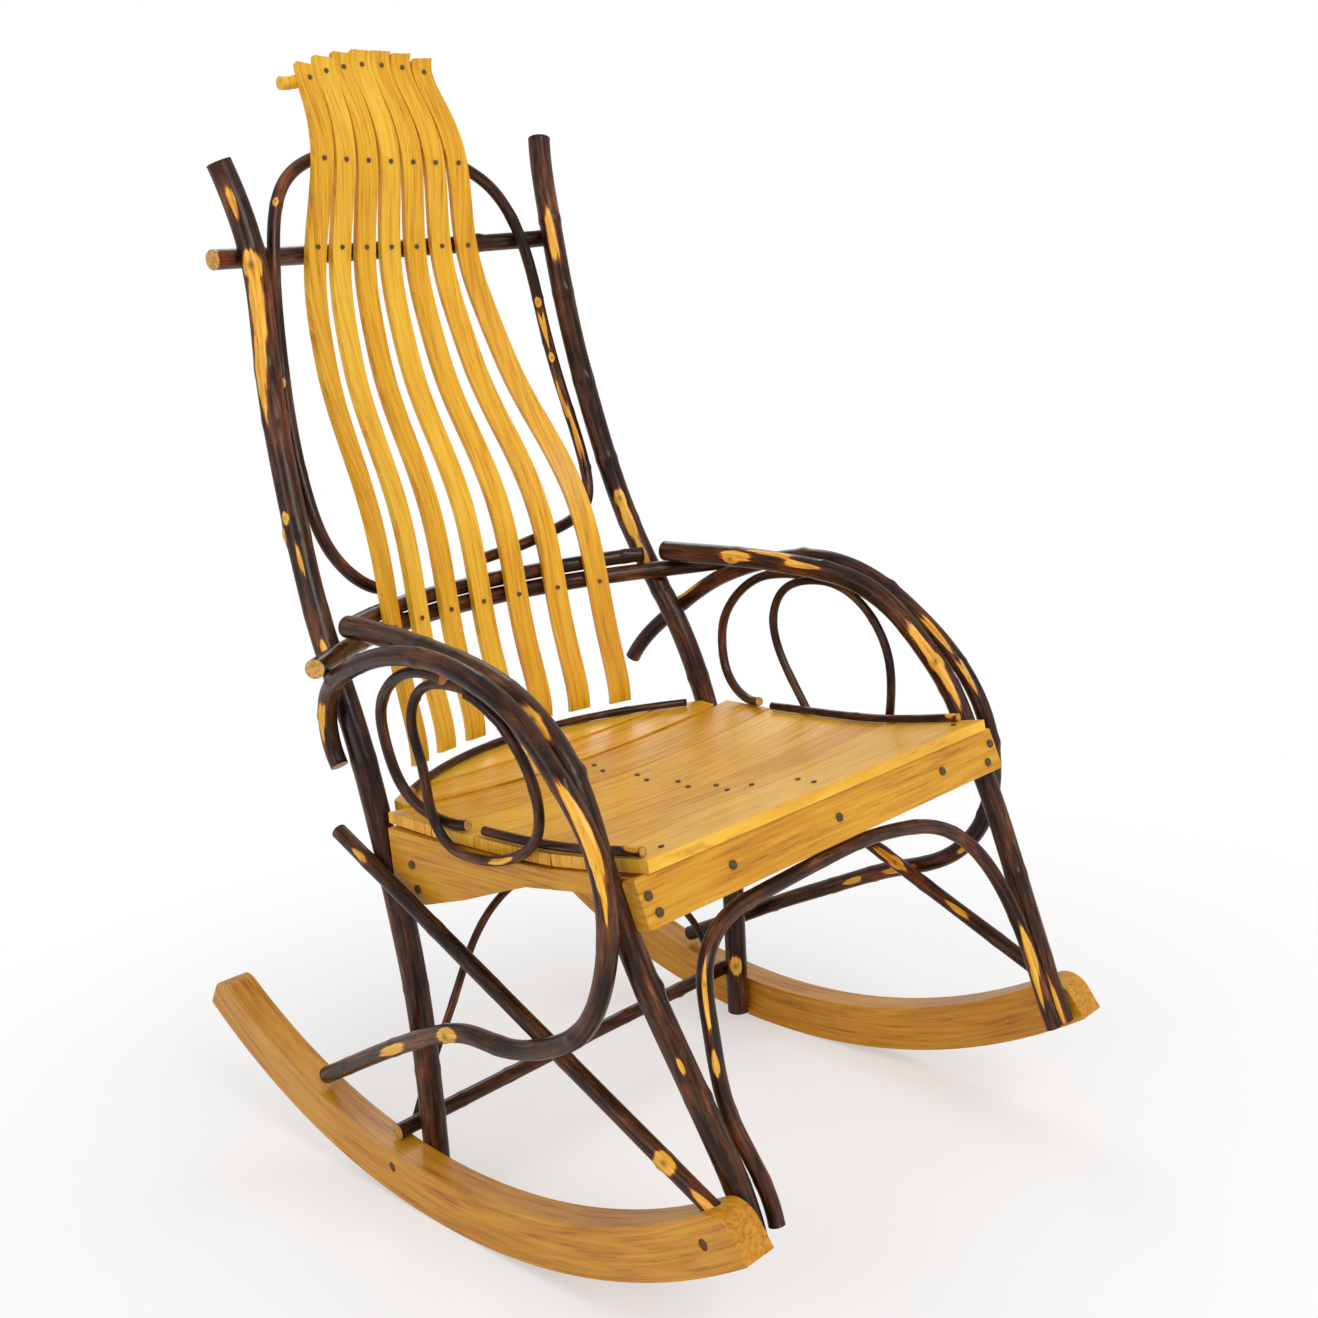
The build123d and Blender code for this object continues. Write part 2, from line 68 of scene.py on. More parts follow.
class Nodes:
    """A node tree with short calls for the nodes that are needed here."""

    def __init__(self, tree):
        self.tree = tree

    def add(self, kind, **settings):
        node = self.tree.nodes.new(kind)
        for key, value in settings.items():
            setattr(node, key, value)
        return node

    def link(self, out, into):
        self.tree.links.new(out, into)

    def feed(self, sockets, values):
        """Gives each socket its value: a number, a colour or another node's output."""
        for socket, value in zip(sockets, values):
            if isinstance(value, (int, float, tuple)):
                socket.default_value = value
            else:
                self.link(value, socket)

    def place(self):
        """A point's coordinates in its object's frame, in metres."""
        return self.add("ShaderNodeTexCoord").outputs["Object"]

    def attribute(self, name, output="Fac"):
        return self.add("ShaderNodeAttribute", attribute_name=name).outputs[output]

    def split(self, vector):
        node = self.add("ShaderNodeSeparateXYZ")
        self.link(vector, node.inputs[0])
        return node.outputs

    def join(self, *parts):
        node = self.add("ShaderNodeCombineXYZ")
        self.feed(node.inputs, parts)
        return node.outputs[0]

    def scaled(self, vector, scale, shift=None):
        node = self.add("ShaderNodeVectorMath", operation="MULTIPLY_ADD")
        self.feed(node.inputs, (vector, scale) if shift is None else (vector, scale, shift))
        return node.outputs[0]

    def math(self, operation, a, b=None, clamp=False):
        node = self.add("ShaderNodeMath", operation=operation, use_clamp=clamp)
        self.feed(node.inputs, (a,) if b is None else (a, b))
        return node.outputs[0]

    def weighted(self, *terms):
        """Sum of pairs of value and weight."""
        total = None
        for value, weight in terms:
            part = self.math("MULTIPLY", value, weight)
            total = part if total is None else self.math("ADD", total, part)
        return total

    def hypotenuse(self, a, b):
        return self.math("SQRT", self.math("ADD", self.math("MULTIPLY", a, a),
                                           self.math("MULTIPLY", b, b)))

    def noise(self, vector, scale=1.0, detail=4.0, roughness=0.55, distortion=0.0):
        node = self.add("ShaderNodeTexNoise")
        self.feed([node.inputs[label] for label in
                   ("Vector", "Scale", "Detail", "Roughness", "Distortion")],
                  (vector, scale, detail, roughness, distortion))
        return node.outputs["Fac"]

    def ramp(self, value, *stops):
        node = self.add("ShaderNodeValToRGB")
        elements = node.color_ramp.elements
        while len(elements) < len(stops):
            elements.new(0.5)
        for element, (position, colour) in zip(elements, stops):
            element.position = position
            element.color = colour
        self.link(value, node.inputs["Fac"])
        return node.outputs["Color"]

    def mask(self, value, low, high):
        """Nothing up to low, all from high on."""
        return self.ramp(value, (low, BLACK), (high, WHITE))

    def mix(self, factor, a, b, blend="MIX"):
        node = self.add("ShaderNodeMix", data_type="RGBA", blend_type=blend)
        # a Mix node's sockets for colours: factor, A, B and the result
        self.feed((node.inputs[0], node.inputs[6], node.inputs[7]), (factor, a, b))
        return node.outputs[2]


class Shader(Nodes):
    """A new material's nodes, round its Principled shader."""

    def __init__(self, name):
        self.material = bpy.data.materials.new(name)
        self.material.use_nodes = True
        super().__init__(self.material.node_tree)
        self.bsdf = self.tree.nodes["Principled BSDF"]

    def bump(self, height, strength, distance):
        node = self.add("ShaderNodeBump")
        self.feed([node.inputs[label] for label in ("Height", "Strength", "Distance")],
                  (height, strength, distance))
        self.link(node.outputs["Normal"], self.bsdf.inputs["Normal"])

    def finish(self, colour, roughness, coat=0.0, specular=0.5):
        """Sets the Principled shader and gives the material. A coat is the varnish."""
        self.feed([self.bsdf.inputs[label] for label in
                   ("Base Color", "Roughness", "Coat Weight", "Coat Roughness",
                    "Specular IOR Level")],
                  (colour, roughness, coat, VARNISH_ROUGHNESS, specular))
        return self.material


def oak(name, grain, light, mid, dark, arc=None):
    """Varnished oak. grain holds how much finer the figure is along X, Y and Z.

    arc is for a board curved in the YZ plane: the Y of its centre, and its radius, which is
    also the centre's height. The figure then follows the board.
    """
    s = Shader(name)
    place = s.place()
    if arc:
        centre_y, radius = arc
        x, y, z = s.split(place)
        y = s.math("SUBTRACT", y, centre_y)
        z = s.math("SUBTRACT", radius, z)
        along = s.math("MULTIPLY", s.math("ARCTAN2", y, z), radius)
        place = s.join(x, along, s.hypotenuse(y, z))
    # each board is cut from its own part of the figure
    own = s.add("ShaderNodeObjectInfo").outputs["Random"]
    shift = s.join(*(s.math("MULTIPLY", own, amount) for amount in (37.0, 19.0, 53.0)))
    figure = s.noise(s.scaled(place, grain, shift), detail=3.0, roughness=0.45, distortion=0.15)
    rings = s.math("PINGPONG", s.math("MULTIPLY", figure, 7.0), 0.5)
    rings = s.math("MULTIPLY", rings, 2.0)
    fine = tuple(5 * g for g in grain)
    pores = s.noise(s.scaled(place, fine, shift), roughness=0.75)
    broad = s.noise(s.scaled(place, (6, 6, 6), shift), detail=2.0)
    tone = s.weighted((rings, 0.17), (pores, 0.54), (broad, 0.30),
                      (s.math("SUBTRACT", own, 0.5), 0.22))
    colour = s.ramp(tone, (0.30, dark), (0.50, mid), (0.72, light))
    streak = s.ramp(pores, (0.36, srgb(168, 112, 40)), (0.44, WHITE))
    colour = s.mix(0.32, colour, streak, "MULTIPLY")
    s.bump(pores, strength=0.10, distance=0.5 * MM)
    return s.finish(colour, roughness=0.42, coat=0.14, specular=0.3)


def bark_wood(name):
    """Varnished sapling bark, with pale wood where it is peeled, worn or cut.

    It reads what sapling() writes: "bark" is a point's place on the pole, straightened out
    along Z, "peel" is 1 in a peeled place, and "eye" is 1 at a knot's core.
    """
    s = Shader(name)
    place = s.attribute("bark", "Vector")
    peel = s.attribute("peel")
    streaks = s.noise(s.scaled(place, (260, 260, 22)), detail=6.0, roughness=0.62, distortion=0.4)
    clouds = s.noise(s.scaled(place, (38, 38, 13)), detail=3.0)
    flecks = s.noise(s.scaled(place, (620, 620, 260)), detail=2.0, roughness=0.5)
    tone = s.weighted((streaks, 0.62), (clouds, 0.46))
    bark = s.ramp(tone, (0.36, srgb(14, 8, 5)), (0.50, srgb(42, 22, 13)),
                  (0.62, srgb(88, 50, 28)), (0.76, srgb(146, 96, 64)))
    spots = s.mask(flecks, 0.68, 0.76)
    bark = s.mix(s.math("MULTIPLY", spots, 0.35), bark, srgb(140, 100, 76))
    rubbed = s.mask(clouds, 0.62, 0.72)
    bark = s.mix(s.math("MULTIPLY", rubbed, 0.45), bark, srgb(140, 66, 24))
    # a peeled place has a ragged edge with a brown rim
    ragged = s.weighted((streaks, 0.9), (clouds, 0.7))
    edge = s.math("ADD", peel, s.math("SUBTRACT", ragged, 0.86))
    rim = s.mask(edge, 0.30, 0.46)
    bark = s.mix(s.math("MULTIPLY", rim, 0.8), bark, srgb(150, 74, 20))
    bare = s.mask(edge, 0.46, 0.54)
    wood = s.ramp(streaks, (0.28, srgb(190, 112, 22)), (0.55, srgb(236, 176, 60)),
                  (0.75, srgb(246, 208, 110)))
    colour = s.mix(bare, bark, wood)
    scar = s.math("MULTIPLY", s.attribute("eye"), 0.85, clamp=True)
    colour = s.mix(scar, colour, srgb(58, 30, 16))
    raised = s.math("ADD", streaks, s.math("MULTIPLY", flecks, 0.25))
    s.bump(s.math("SUBTRACT", raised, s.math("MULTIPLY", bare, 0.5)),
           strength=0.35, distance=1.2 * MM)
    rough = s.math("ADD", s.math("MULTIPLY", clouds, 0.30), 0.16)
    return s.finish(colour, rough, coat=0.18, specular=0.16)


def end_grain(name):
    """The sawn end of a sapling: pale wood with rings round its middle."""
    s = Shader(name)
    place = s.attribute("bark", "Vector")
    x, y, _ = s.split(place)
    grain = s.noise(s.scaled(place, (300, 300, 300)), detail=3.0)
    out = s.math("ADD", s.hypotenuse(x, y), s.math("MULTIPLY", grain, 0.6 * MM))
    rings = s.math("SINE", s.math("MULTIPLY", out, 4200.0))
    tone = s.math("ADD", s.math("MULTIPLY", rings, 0.16), grain)
    colour = s.ramp(tone, (0.3, srgb(150, 92, 34)), (0.7, srgb(226, 176, 88)))
    s.bump(tone, strength=0.2, distance=0.5 * MM)
    return s.finish(colour, roughness=0.5, coat=0.15)


def steel(name):
    """Dull dark heads of nails and screws."""
    s = Shader(name)
    spots = s.noise(s.place(), scale=900.0, detail=3.0)
    s.bsdf.inputs["Metallic"].default_value = 0.75
    s.bump(spots, strength=0.2, distance=0.3 * MM)
    colour = s.ramp(spots, (0.3, srgb(62, 52, 42)), (0.7, srgb(128, 112, 90)))
    return s.finish(colour, roughness=0.42)


# fineness of the figure on rails that run along X and along Y, and on the upright slats
ACROSS, LENGTHWISE, UPRIGHT = (2.4, 10, 60), (10, 2.4, 60), (60, 5, 2.2)
GOLD = srgb(244, 196, 62), srgb(232, 172, 38), srgb(208, 142, 18)
SEAT_GOLD = srgb(244, 194, 64), srgb(232, 170, 40), srgb(208, 140, 18)
AMBER = srgb(220, 162, 44), srgb(202, 138, 28), srgb(168, 106, 14)
ROCKER_AMBER = srgb(216, 158, 48), srgb(198, 134, 30), srgb(160, 100, 16)
ROCKER_R = 0.76          # of the rockers' running edge, about a line at y = 0
ROCKER_ARC = (0.0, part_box("rocker_left")[0].z + ROCKER_R)
MATERIALS = {
    "slat_oak": oak("oak_slat", UPRIGHT, *GOLD),
    "seat_oak": oak("oak_seat", (2.2, 60, 6), *SEAT_GOLD),
    "rail_oak": oak("oak_rail", ACROSS, *AMBER),
    "rocker_oak": oak("oak_rocker", (46, 2.4, 60), *ROCKER_AMBER, ROCKER_ARC),
    "bark": bark_wood("bark"),
    "dark_steel": steel("nail_steel"),
}
CUT = end_grain("sawn_end")
SIDE_RAIL_OAK = oak("oak_side_rail", LENGTHWISE, *AMBER)
PLUG_OAK = oak("oak_plug", (60, 400, 400), srgb(128, 76, 30), srgb(98, 54, 20), srgb(66, 34, 14))


# ---- centre lines of the CAD's saplings --------------------------------------

SLIVER = 1e-10           # square metres: a smaller triangle has no sure normal
OFF_PLANE = 2e-5         # metres, for triangles of one flat end
SAME_WAY = 0.9999        # cosine between the normals of one flat end
DISC_SHARE = 0.85        # least share of its round rim that an end fills
STRAIGHT_POINTS = 1000   # a straight tube's mesh has fewer points than this
RING_STEP = 0.0027       # metres between the rings of a sapling's mesh
MOST_RINGS = 2000
RING_POINTS = 8          # fewest cut points that make a sure circle
SEARCH_REACH = 1.5       # radii, short of the next strand of a closely bent pole
MOST_SHIFT = 0.7         # steps, so that one poor ring can't turn the walk round


def mesh_arrays(obj):
    """Points and triangles of an object's mesh."""
    mesh = obj.data
    mesh.calc_loop_triangles()
    points = np.empty(len(mesh.vertices) * 3)
    mesh.vertices.foreach_get("co", points)
    tris = np.empty(len(mesh.loop_triangles) * 3, dtype=np.int64)
    mesh.loop_triangles.foreach_get("vertices", tris)
    return points.reshape(-1, 3), tris.reshape(-1, 3)


def crosswise(normal):
    """Some direction square to a given one."""
    return np.cross(normal, (0, 0, 1) if abs(normal[2]) < 0.9 else (1, 0, 0))


def end_caps(points, tris):
    """The two flat round ends of a tube, lower one first: centre, outward normal, radius."""
    a, b, c = (points[tris[:, k]] for k in range(3))
    cross = np.cross(b - a, c - a)
    area = np.linalg.norm(cross, axis=1) / 2
    keep = area > SLIVER
    a, b, c, area, normal = a[keep], b[keep], c[keep], area[keep], cross[keep]
    normal /= 2 * area[:, None]
    middle = (a + b + c) / 3
    caps = []
    tried = np.zeros(len(area), dtype=bool)
    # an end is a disc: the triangles in the plane of one of them fill a round rim
    for k in np.argsort(-area):
        if tried[k]:
            continue
        flat = ((np.abs((middle - middle[k]) @ normal[k]) < OFF_PLANE)
                & (normal @ normal[k] > SAME_WAY))
        tried |= flat
        if flat.sum() < 6:
            continue
        weight = area[flat][:, None]
        centre = (middle[flat] * weight).sum(0) / weight.sum()
        rim = np.linalg.norm(np.vstack((a[flat], b[flat], c[flat])) - centre, axis=1).max()
        if weight.sum() / (math.pi * rim * rim) > DISC_SHARE:
            caps.append((centre, normal[k], rim))
        if len(caps) == 2:
            break
    return sorted(caps, key=lambda cap: cap[0][2])


def ring_centre(points, edges, at, normal, reach):
    """Centre of the ring in which a plane cuts the tube near a point."""
    side = (points - at) @ normal
    cut = edges[(side[edges[:, 0]] > 0) != (side[edges[:, 1]] > 0)]
    s0, s1 = side[cut[:, 0]], side[cut[:, 1]]
    away = (points[cut[:, 0]] - at
            + (points[cut[:, 1]] - points[cut[:, 0]]) * (s0 / (s0 - s1))[:, None])
    away = away[(away ** 2).sum(1) < reach ** 2]
    if len(away) < RING_POINTS:
        return at
    u = crosswise(normal)
    u /= np.linalg.norm(u)
    v = np.cross(normal, u)
    p = np.column_stack((away @ u, away @ v))
    # least-squares circle in the plane
    unknowns = np.column_stack((2 * p, np.ones(len(p))))
    fit = np.linalg.lstsq(unknowns, (p ** 2).sum(1), rcond=None)[0]
    return at + fit[0] * u + fit[1] * v


def centre_line(obj, step):
    """Centre line and radius of a CAD tube, walked from its lower end to the other."""
    points, tris = mesh_arrays(obj)
    (start, outward, radius), (end, _, _) = end_caps(points, tris)
    if len(points) < STRAIGHT_POINTS:
        share = np.linspace(0, 1, int(np.linalg.norm(end - start) / step))[:, None]
        return start + (end - start) * share, radius
    edges = np.vstack((tris[:, :2], tris[:, 1:], tris[:, ::-2]))
    edges = edges[edges[:, 0] < edges[:, 1]]
    line, heading = [start], -outward
    while np.linalg.norm(end - line[-1]) > 1.5 * step and len(line) < MOST_RINGS:
        ahead = line[-1] + heading * step
        shift = ring_centre(points, edges, ahead, heading, SEARCH_REACH * radius) - ahead
        shift *= min(1.0, MOST_SHIFT * step / max(np.linalg.norm(shift), 1e-9))
        turn = heading * step + shift
        heading = turn / np.linalg.norm(turn)
        line.append(line[-1] + heading * step)
    line.append(end)
    line = np.array(line)
    for _ in range(2):
        line[1:-1] = (line[:-2] + 2 * line[1:-1] + line[2:]) / 4
    return line, radius


# ---- saplings --------------------------------------------------------------

AROUND = 36              # points in each ring
ANGLES = np.linspace(0, 2 * math.pi, AROUND, endpoint=False)
BARK_SHARE = 0.98        # of the CAD tube's radius, so that swellings stay near it
# a sawn end's worn edge and its face: share of the radius, and metres beyond the last ring
WORN_EDGE, END_FACE = (0.93, 0.0002), (0.5, 0.0003)
FULL_TURN = 6.28         # radians, for places drawn at random
STUB_HEIGHT = 0.13       # share of the radius
STUB_CHANCE, BARE_CHANCE = 0.7, 0.1


class Pole:
    """Centre line of a CAD tube, with directions across it at each ring."""

    def __init__(self, obj):
        self.line, self.radius = centre_line(obj, RING_STEP)
        self.count = len(self.line)
        self.tangent = np.gradient(self.line, axis=0)
        self.tangent /= np.linalg.norm(self.tangent, axis=1)[:, None]
        steps = np.linalg.norm(np.diff(self.line, axis=0), axis=1)
        self.lengths = np.concatenate(((0,), np.cumsum(steps)))
        # carried along the pole without twist
        u = crosswise(self.tangent[0])
        across, over = [], []
        for t in self.tangent:
            u = u - t * (u @ t)
            u = u / np.linalg.norm(u)
            across.append(u)
            over.append(np.cross(t, u))
        self.across, self.over = np.array(across), np.array(over)

    def spread(self, at, facing):
        """Distances along and round the pole from a spot on its surface.

        facing is a direction in space or an angle round the pole.
        """
        angle = facing
        if not isinstance(facing, float):
            k = min(int(at / self.lengths[-1] * (self.count - 1)), self.count - 1)
            angle = math.atan2(np.dot(facing, self.over[k]), np.dot(facing, self.across[k]))
        turn = np.abs((ANGLES - angle + math.pi) % (2 * math.pi) - math.pi) * self.radius
        return (self.lengths - at)[:, None], turn[None, :]


def swelling(rng, lengths):
    """Slow swelling along a pole with ridged joints: share of its radius, and the joints."""
    swell = np.ones(len(lengths))
    for _ in range(5):
        height, waves = rng.uniform(0.002, 0.007), rng.uniform(12, 60)
        start = rng.uniform(0, FULL_TURN)
        swell += height * np.sin(lengths * waves + start)
    joints = []
    at = rng.uniform(0.02, 0.08)
    while at < lengths[-1] - 0.02:
        joints.append(at)
        height, reach = rng.uniform(0.02, 0.06), rng.uniform(0.004, 0.009)
        swell += height * np.exp(-((lengths - at) / reach) ** 2)
        at += rng.uniform(0.05, 0.13)
    return swell, joints


def surface(rng, pole, knots, patches):
    """Share of the radius, peeled places and knots' eyes, at each ring and angle."""
    swell, joints = swelling(rng, pole.lengths)
    size = np.repeat(swell[:, None], AROUND, axis=1) * BARK_SHARE
    peel = np.zeros((pole.count, AROUND))
    eye = np.zeros((pole.count, AROUND))
    # stubs where twigs were trimmed off, first at some of the joints, then the listed ones
    stubs = [(at, rng.uniform(0, FULL_TURN), rng.uniform(0.4, 0.7) * pole.radius,
              rng.random() < BARE_CHANCE)
             for at in joints if rng.random() < STUB_CHANCE]
    stubs += [(share * pole.lengths[-1], facing, mm * MM, True) for share, facing, mm in knots]
    for at, facing, reach, bare in stubs:
        along, turn = pole.spread(at, facing)
        away = np.sqrt((along / 1.5) ** 2 + turn ** 2) / reach
        size += STUB_HEIGHT * np.exp(-2.2 * away ** 2)
        if bare:
            peel = np.maximum(peel, np.clip(1.5 - away, 0, 1))
            eye = np.maximum(eye, np.exp(-14 * away ** 2))
        else:
            eye = np.maximum(eye, 0.8 * np.exp(-6 * away ** 2))
    for share, facing, length, width in patches:
        along, turn = pole.spread(share * pole.lengths[-1], facing)
        lean = rng.uniform(-0.12, 0.12) * along
        away = np.sqrt((along / (length * MM / 2)) ** 2
                       + (np.abs(turn - lean) / (width * MM / 2)) ** 2)
        peel = np.maximum(peel, np.clip(1.25 - away * 0.75, 0, 1))
    return size, peel, eye


def skin(pole, size):
    """Points, their places on the straightened pole, and faces, the sawn ends' last."""
    count, radius = pole.count, pole.radius
    cosines, sines = np.cos(ANGLES), np.sin(ANGLES)
    spokes = (cosines[None, :, None] * pole.across[:, None, :]
              + sines[None, :, None] * pole.over[:, None, :])
    verts = [(pole.line[:, None, :] + spokes * (radius * size)[:, :, None]).reshape(-1, 3)]
    place = np.empty((count, AROUND, 3))
    place[:, :, 0] = cosines * radius
    place[:, :, 1] = sines * radius
    place[:, :, 2] = pole.lengths[:, None]
    places = [place.reshape(-1, 3)]
    j = np.arange(AROUND)
    n = (j + 1) % AROUND
    quad = np.column_stack((j, n, n + AROUND, j + AROUND))
    faces = []
    for k in range(count - 1):
        faces += (quad + k * AROUND).tolist()
    base = count * AROUND
    for k, sign in ((0, -1), (count - 1, 1)):
        rings = [k * AROUND + j]
        for share, out in (WORN_EDGE, END_FACE):
            reach = radius * size[k] * share
            verts.append(pole.line[k] + spokes[k] * reach[:, None] + sign * pole.tangent[k] * out)
            places.append(np.column_stack((cosines * reach, sines * reach,
                                           np.full(AROUND, pole.lengths[k]))))
            rings.append(base + j)
            base += AROUND
        verts.append((pole.line[k] + sign * pole.tangent[k] * END_FACE[1])[None, :])
        places.append(np.array(((0, 0, pole.lengths[k]),)))
        for outer, inner in zip(rings, rings[1:]):
            quads = np.column_stack((outer, inner, inner[n], outer[n]))
            faces += (quads if sign > 0 else quads[:, ::-1]).tolist()
        fan = np.column_stack((rings[-1], np.full(AROUND, base), rings[-1][n]))
        faces += (fan if sign > 0 else fan[:, ::-1]).tolist()
        base += 1
    return np.vstack(verts), np.vstack(places), faces


def sapling(name, knots=(), patches=()):
    """A bark-covered pole on the centre line of its CAD tube."""
    rng = random.Random(name)
    pole = Pole(nodes[name])
    size, peel, eye = surface(rng, pole, knots, patches)
    verts, places, faces = skin(pole, size)
    places[:, 2] += rng.uniform(0, 5)

    mesh = bpy.data.meshes.new(name + "_bark")
    mesh.from_pydata(verts.tolist(), [], faces)
    mesh.polygons.foreach_set("use_smooth", np.ones(len(faces), dtype=bool))
    cut = np.zeros(len(faces), dtype=np.int32)
    cut[(pole.count - 1) * AROUND:] = 1
    mesh.materials.append(MATERIALS["bark"])
    mesh.materials.append(CUT)
    mesh.polygons.foreach_set("material_index", cut)
    mesh.attributes.new("bark", "FLOAT_VECTOR", "POINT").data.foreach_set("vector", places.ravel())
    for label, values in (("peel", peel), ("eye", eye)):
        whole = np.zeros(len(verts))
        whole[:values.size] = values.ravel()
        mesh.attributes.new(label, "FLOAT", "POINT").data.foreach_set("value", whole)
    piece = bpy.data.objects.new(name + "_bark", mesh)
    bpy.context.scene.collection.objects.link(piece)
    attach(piece, "root")
    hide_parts(name)


# Knots and peeled patches are placed one by one from the photograph. Each has its share of the
# pole's length from the lower end and the way it faces: to the photograph's camera, more from
# above, or out to the chair's near side. A knot then has its reach in mm, and a patch its length
# and width in mm.
FRONT = (-0.72, -0.66, 0.2)
ABOVE = (-0.4, -0.4, 0.82)
OUT = (-0.95, -0.25, 0.15)
KNOTS = {
    "back_post_right": [(0.90, FRONT, 11), (0.66, OUT, 5)],
    "back_post_left": [(0.60, FRONT, 8)],
    "back_hoop": [(0.20, FRONT, 4), (0.69, FRONT, 4.5), (0.74, FRONT, 4)],
    "front_leg_left": [(0.50, FRONT, 9)],
    "front_leg_right": [(0.58, FRONT, 7)],
    "arm_loop_right": [(0.24, FRONT, 10)],
    "side_brace_right": [(0.11, FRONT, 8)],
    "side_brace_left": [(0.40, FRONT, 7)],
}
PATCHES = {
    "back_post_right": [(0.865, FRONT, 84, 17), (0.80, OUT, 90, 9), (0.955, FRONT, 40, 7),
                        (0.84, FRONT, 130, 7), (0.62, FRONT, 44, 5), (0.53, FRONT, 20, 6)],
    "back_post_left": [(0.89, FRONT, 64, 13), (0.575, FRONT, 60, 13), (0.54, FRONT, 60, 8)],
    "back_hoop": [(0.72, FRONT, 60, 5), (0.81, FRONT, 90, 8), (0.78, OUT, 50, 5)],
    "front_hoop": [(0.90, FRONT, 56, 10), (0.95, OUT, 50, 5), (0.17, FRONT, 26, 7),
                   (0.24, FRONT, 60, 5)],
    "front_leg_left": [(0.51, FRONT, 84, 13), (0.46, FRONT, 70, 7), (0.86, FRONT, 40, 14),
                       (0.81, ABOVE, 70, 8), (0.74, FRONT, 60, 6), (0.04, FRONT, 60, 4)],
    "front_leg_right": [(0.575, FRONT, 50, 12), (0.20, FRONT, 16, 5)],
    "arm_loop_left": [(0.90, ABOVE, 60, 8), (0.30, FRONT, 50, 8), (0.24, FRONT, 30, 7),
                      (0.38, FRONT, 30, 7), (0.54, FRONT, 60, 6), (0.58, FRONT, 70, 5)],
    "arm_loop_right": [(0.58, FRONT, 100, 12), (0.53, FRONT, 60, 5), (0.245, FRONT, 26, 16),
                       (0.14, FRONT, 60, 10), (0.96, OUT, 50, 9)],
    "side_brace_right": [(0.92, FRONT, 24, 6), (0.02, FRONT, 40, 8)],
    "side_brace_left": [(0.41, FRONT, 50, 8), (0.24, FRONT, 34, 6), (0.55, FRONT, 20, 5)],
    "arm_ring_right": [(0.65, OUT, 36, 7)],
    "seat_trim_right": [(0.95, ABOVE, 26, 9)],
    "seat_trim_left": [(0.97, ABOVE, 16, 9)],
}
for name in sorted(n for n, s in slots.items() if s == "bark"):
    sapling(name, KNOTS.get(name, ()), PATCHES.get(name, ()))


# ---- boards, rails and fastenings -------------------------------------------

ROCKER_BEVEL, BOARD_BEVEL = 3.0 * MM, 1.4 * MM
BEVEL_ABOVE = math.radians(50)
RAILS_ALONG_Y = ("seat_side_rail_left", "seat_side_rail_right", "seat_middle_rail")


def dress(name, bevel):
    """Gives a CAD piece its wood or steel, and rounds a board's edges a little."""
    board = nodes[name]
    material = MATERIALS[slots[name]]
    if name in RAILS_ALONG_Y:
        material = SIDE_RAIL_OAK
    if name == "rocker_plugs":
        material = PLUG_OAK
    board.data.materials.clear()
    board.data.materials.append(material)
    if bevel:
        round_edges = board.modifiers.new("edges", "BEVEL")
        round_edges.width = bevel
        round_edges.segments = 3
        round_edges.limit_method = "ANGLE"
        round_edges.angle_limit = BEVEL_ABOVE
        round_edges.use_clamp_overlap = True
        round_edges.harden_normals = True


for name, slot in slots.items():
    if slot == "dark_steel" or name == "rocker_plugs":
        dress(name, 0)
    elif slot != "bark":
        dress(name, ROCKER_BEVEL if slot == "rocker_oak" else BOARD_BEVEL)


# ---- stage -------------------------------------------------------------------

FLOOR_REACH = 60.0
FLOOR_DROP = 0.0005      # keeps the floor just clear of the rockers
WORLD_LIGHT = 0.62


def pale_floor():
    """A floor that, seen directly, runs out into the white of the backdrop."""
    mesh = bpy.data.meshes.new("floor")
    mesh.from_pydata([(x * FLOOR_REACH, y * FLOOR_REACH, 0)
                      for x, y in ((-1, -1), (1, -1), (1, 1), (-1, 1))], [], [(0, 1, 2, 3)])
    floor = bpy.data.objects.new("floor", mesh)
    floor.location.z = -FLOOR_DROP
    bpy.context.scene.collection.objects.link(floor)
    s = Shader("floor")
    grey = s.ramp(s.noise(s.place(), scale=3.0),
                  (0.0, (0.93, 0.93, 0.93, 1)), (1.0, (0.95, 0.95, 0.95, 1)))
    s.finish(grey, roughness=0.8)
    out = s.add("ShaderNodeVectorMath", operation="LENGTH")
    s.link(s.place(), out.inputs[0])
    # the share of white grows from 0.45 at 0.35 m from the middle to all at 1.25 m
    fade = s.add("ShaderNodeMapRange", interpolation_type="SMOOTHSTEP")
    s.feed(fade.inputs[:5], (out.outputs["Value"], 0.35, 1.25, 0.45, 1.0))
    share = s.math("MULTIPLY", fade.outputs["Result"],
                   s.add("ShaderNodeLightPath").outputs["Is Camera Ray"])
    merge = s.add("ShaderNodeMixShader")
    s.feed(merge.inputs, (share, s.bsdf.outputs[0], s.add("ShaderNodeEmission").outputs[0]))
    s.link(merge.outputs[0], s.tree.nodes["Material Output"].inputs["Surface"])
    mesh.materials.append(s.material)


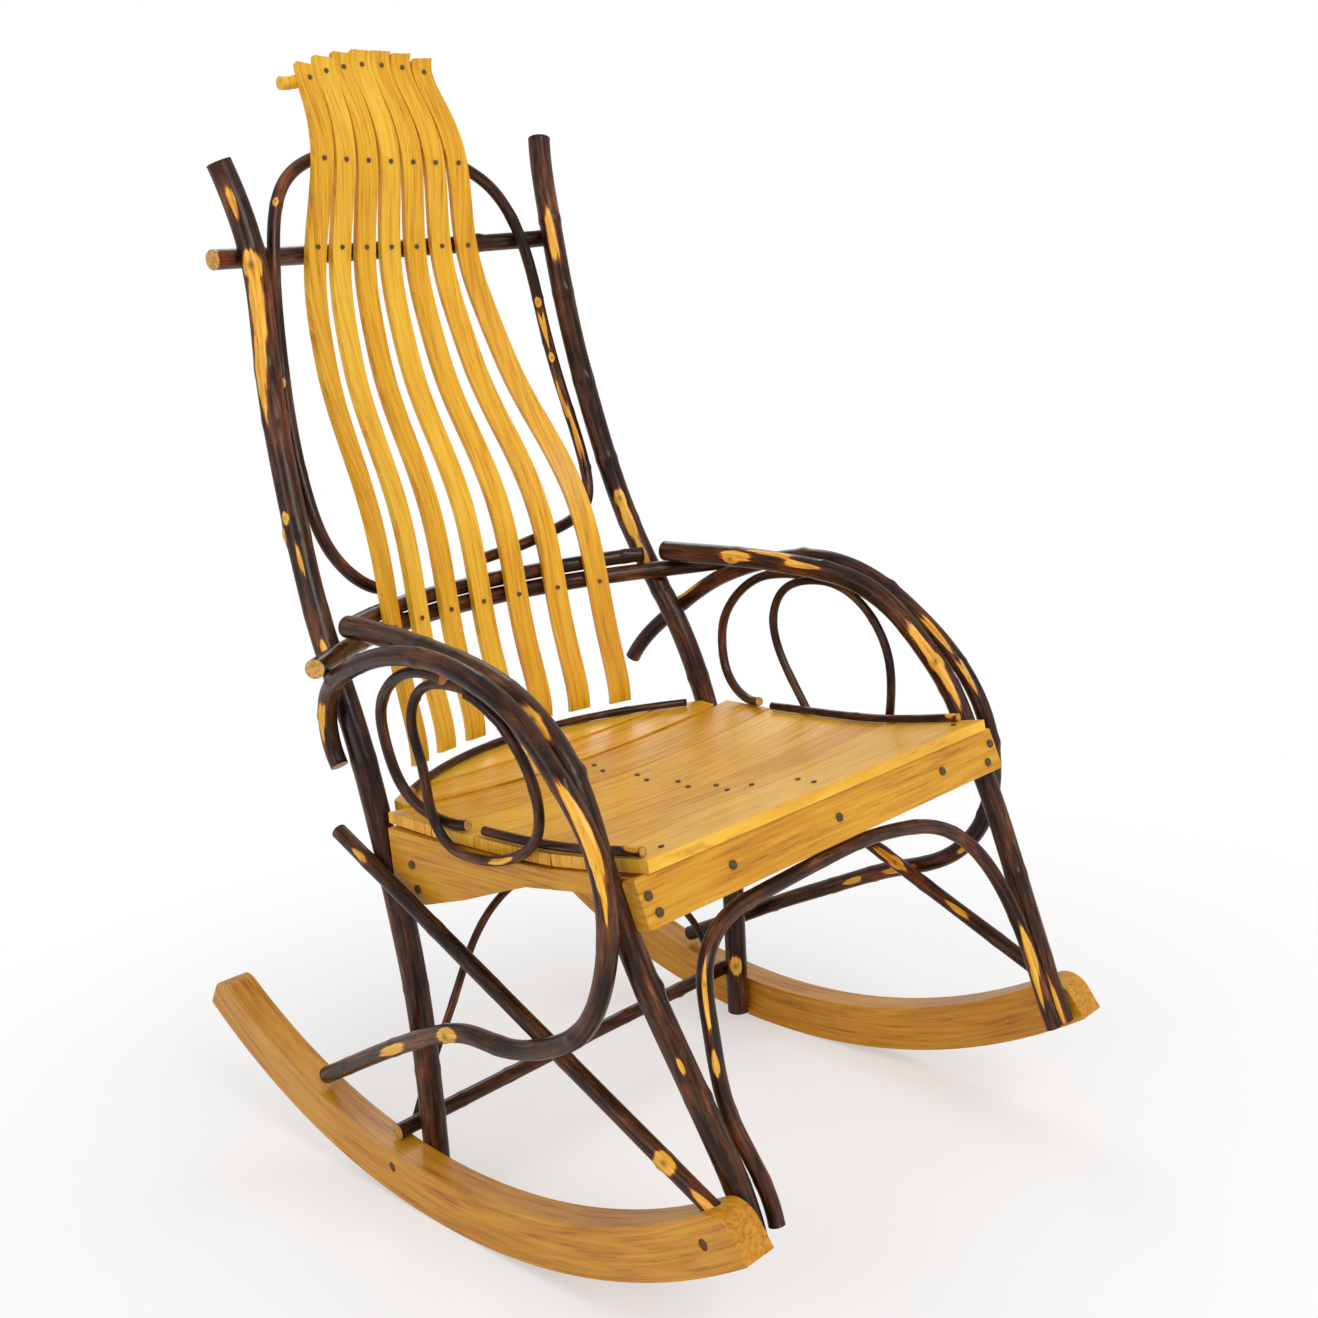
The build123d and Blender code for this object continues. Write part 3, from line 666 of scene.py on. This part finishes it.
def white_world():
    """Soft light from all round, and a backdrop that is full white to the camera."""
    world = bpy.data.worlds.new("studio")
    bpy.context.scene.world = world
    world.use_nodes = True
    w = Nodes(world.node_tree)
    light = w.tree.nodes["Background"]
    backdrop = w.add("ShaderNodeBackground")
    for background, strength in ((light, WORLD_LIGHT), (backdrop, 1.0)):
        background.inputs["Color"].default_value = WHITE
        background.inputs["Strength"].default_value = strength
    rays = w.add("ShaderNodeLightPath").outputs
    seen = w.math("MAXIMUM", rays["Is Camera Ray"], rays["Is Transmission Ray"])
    switch = w.add("ShaderNodeMixShader")
    w.feed(switch.inputs, (seen, light.outputs[0], backdrop.outputs[0]))
    w.link(switch.outputs[0], w.tree.nodes["World Output"].inputs["Surface"])


def lamp(name, place, aim, size, power):
    """A square area lamp, its size in metres and its power in watts."""
    light = bpy.data.lights.new(name, "AREA")
    light.size = size
    light.energy = power
    lamp_object = bpy.data.objects.new(name, light)
    lamp_object.location = place
    lamp_object.rotation_euler = (Vector(aim) - Vector(place)).to_track_quat("-Z", "Y").to_euler()
    bpy.context.scene.collection.objects.link(lamp_object)


pale_floor()
white_world()
lamp("key", (-0.6, -3.2, 2.9), (0, 0, 0.5), 1.6, 62)
lamp("fill", (-3.4, -0.4, 1.8), (0, 0, 0.5), 1.8, 22)
lamp("back", (2.2, 2.4, 2.8), (0, 0, 0.6), 1.4, 24)

# camera at the photograph's viewing angle
IMAGE_WIDTH = 1318
FOCAL_PIXELS = 1481.7
SENSOR_WIDTH = 36
AZIMUTH, PITCH, ROLL = (math.radians(v) for v in (-44.58, 11.30, -5.16))
EYE = Vector((-1.0449, -1.1461, 0.8291))
camera_data = bpy.data.cameras.new("camera")
camera_data.sensor_width = SENSOR_WIDTH
camera_data.lens = SENSOR_WIDTH * FOCAL_PIXELS / IMAGE_WIDTH
camera = bpy.data.objects.new("camera", camera_data)
back = Vector((math.sin(AZIMUTH) * math.cos(PITCH), -math.cos(AZIMUTH) * math.cos(PITCH),
               math.sin(PITCH)))
right = (-back).cross(Vector((0, 0, 1))).normalized()
up = back.cross(right)
rolled_right = math.cos(ROLL) * right + math.sin(ROLL) * up
rolled_up = -math.sin(ROLL) * right + math.cos(ROLL) * up
turn = Matrix((rolled_right, rolled_up, back)).transposed().to_4x4()
camera.matrix_world = Matrix.Translation(EYE) @ turn
bpy.context.scene.collection.objects.link(camera)
bpy.context.scene.camera = camera
bpy.context.scene.view_settings.view_transform = "Standard"
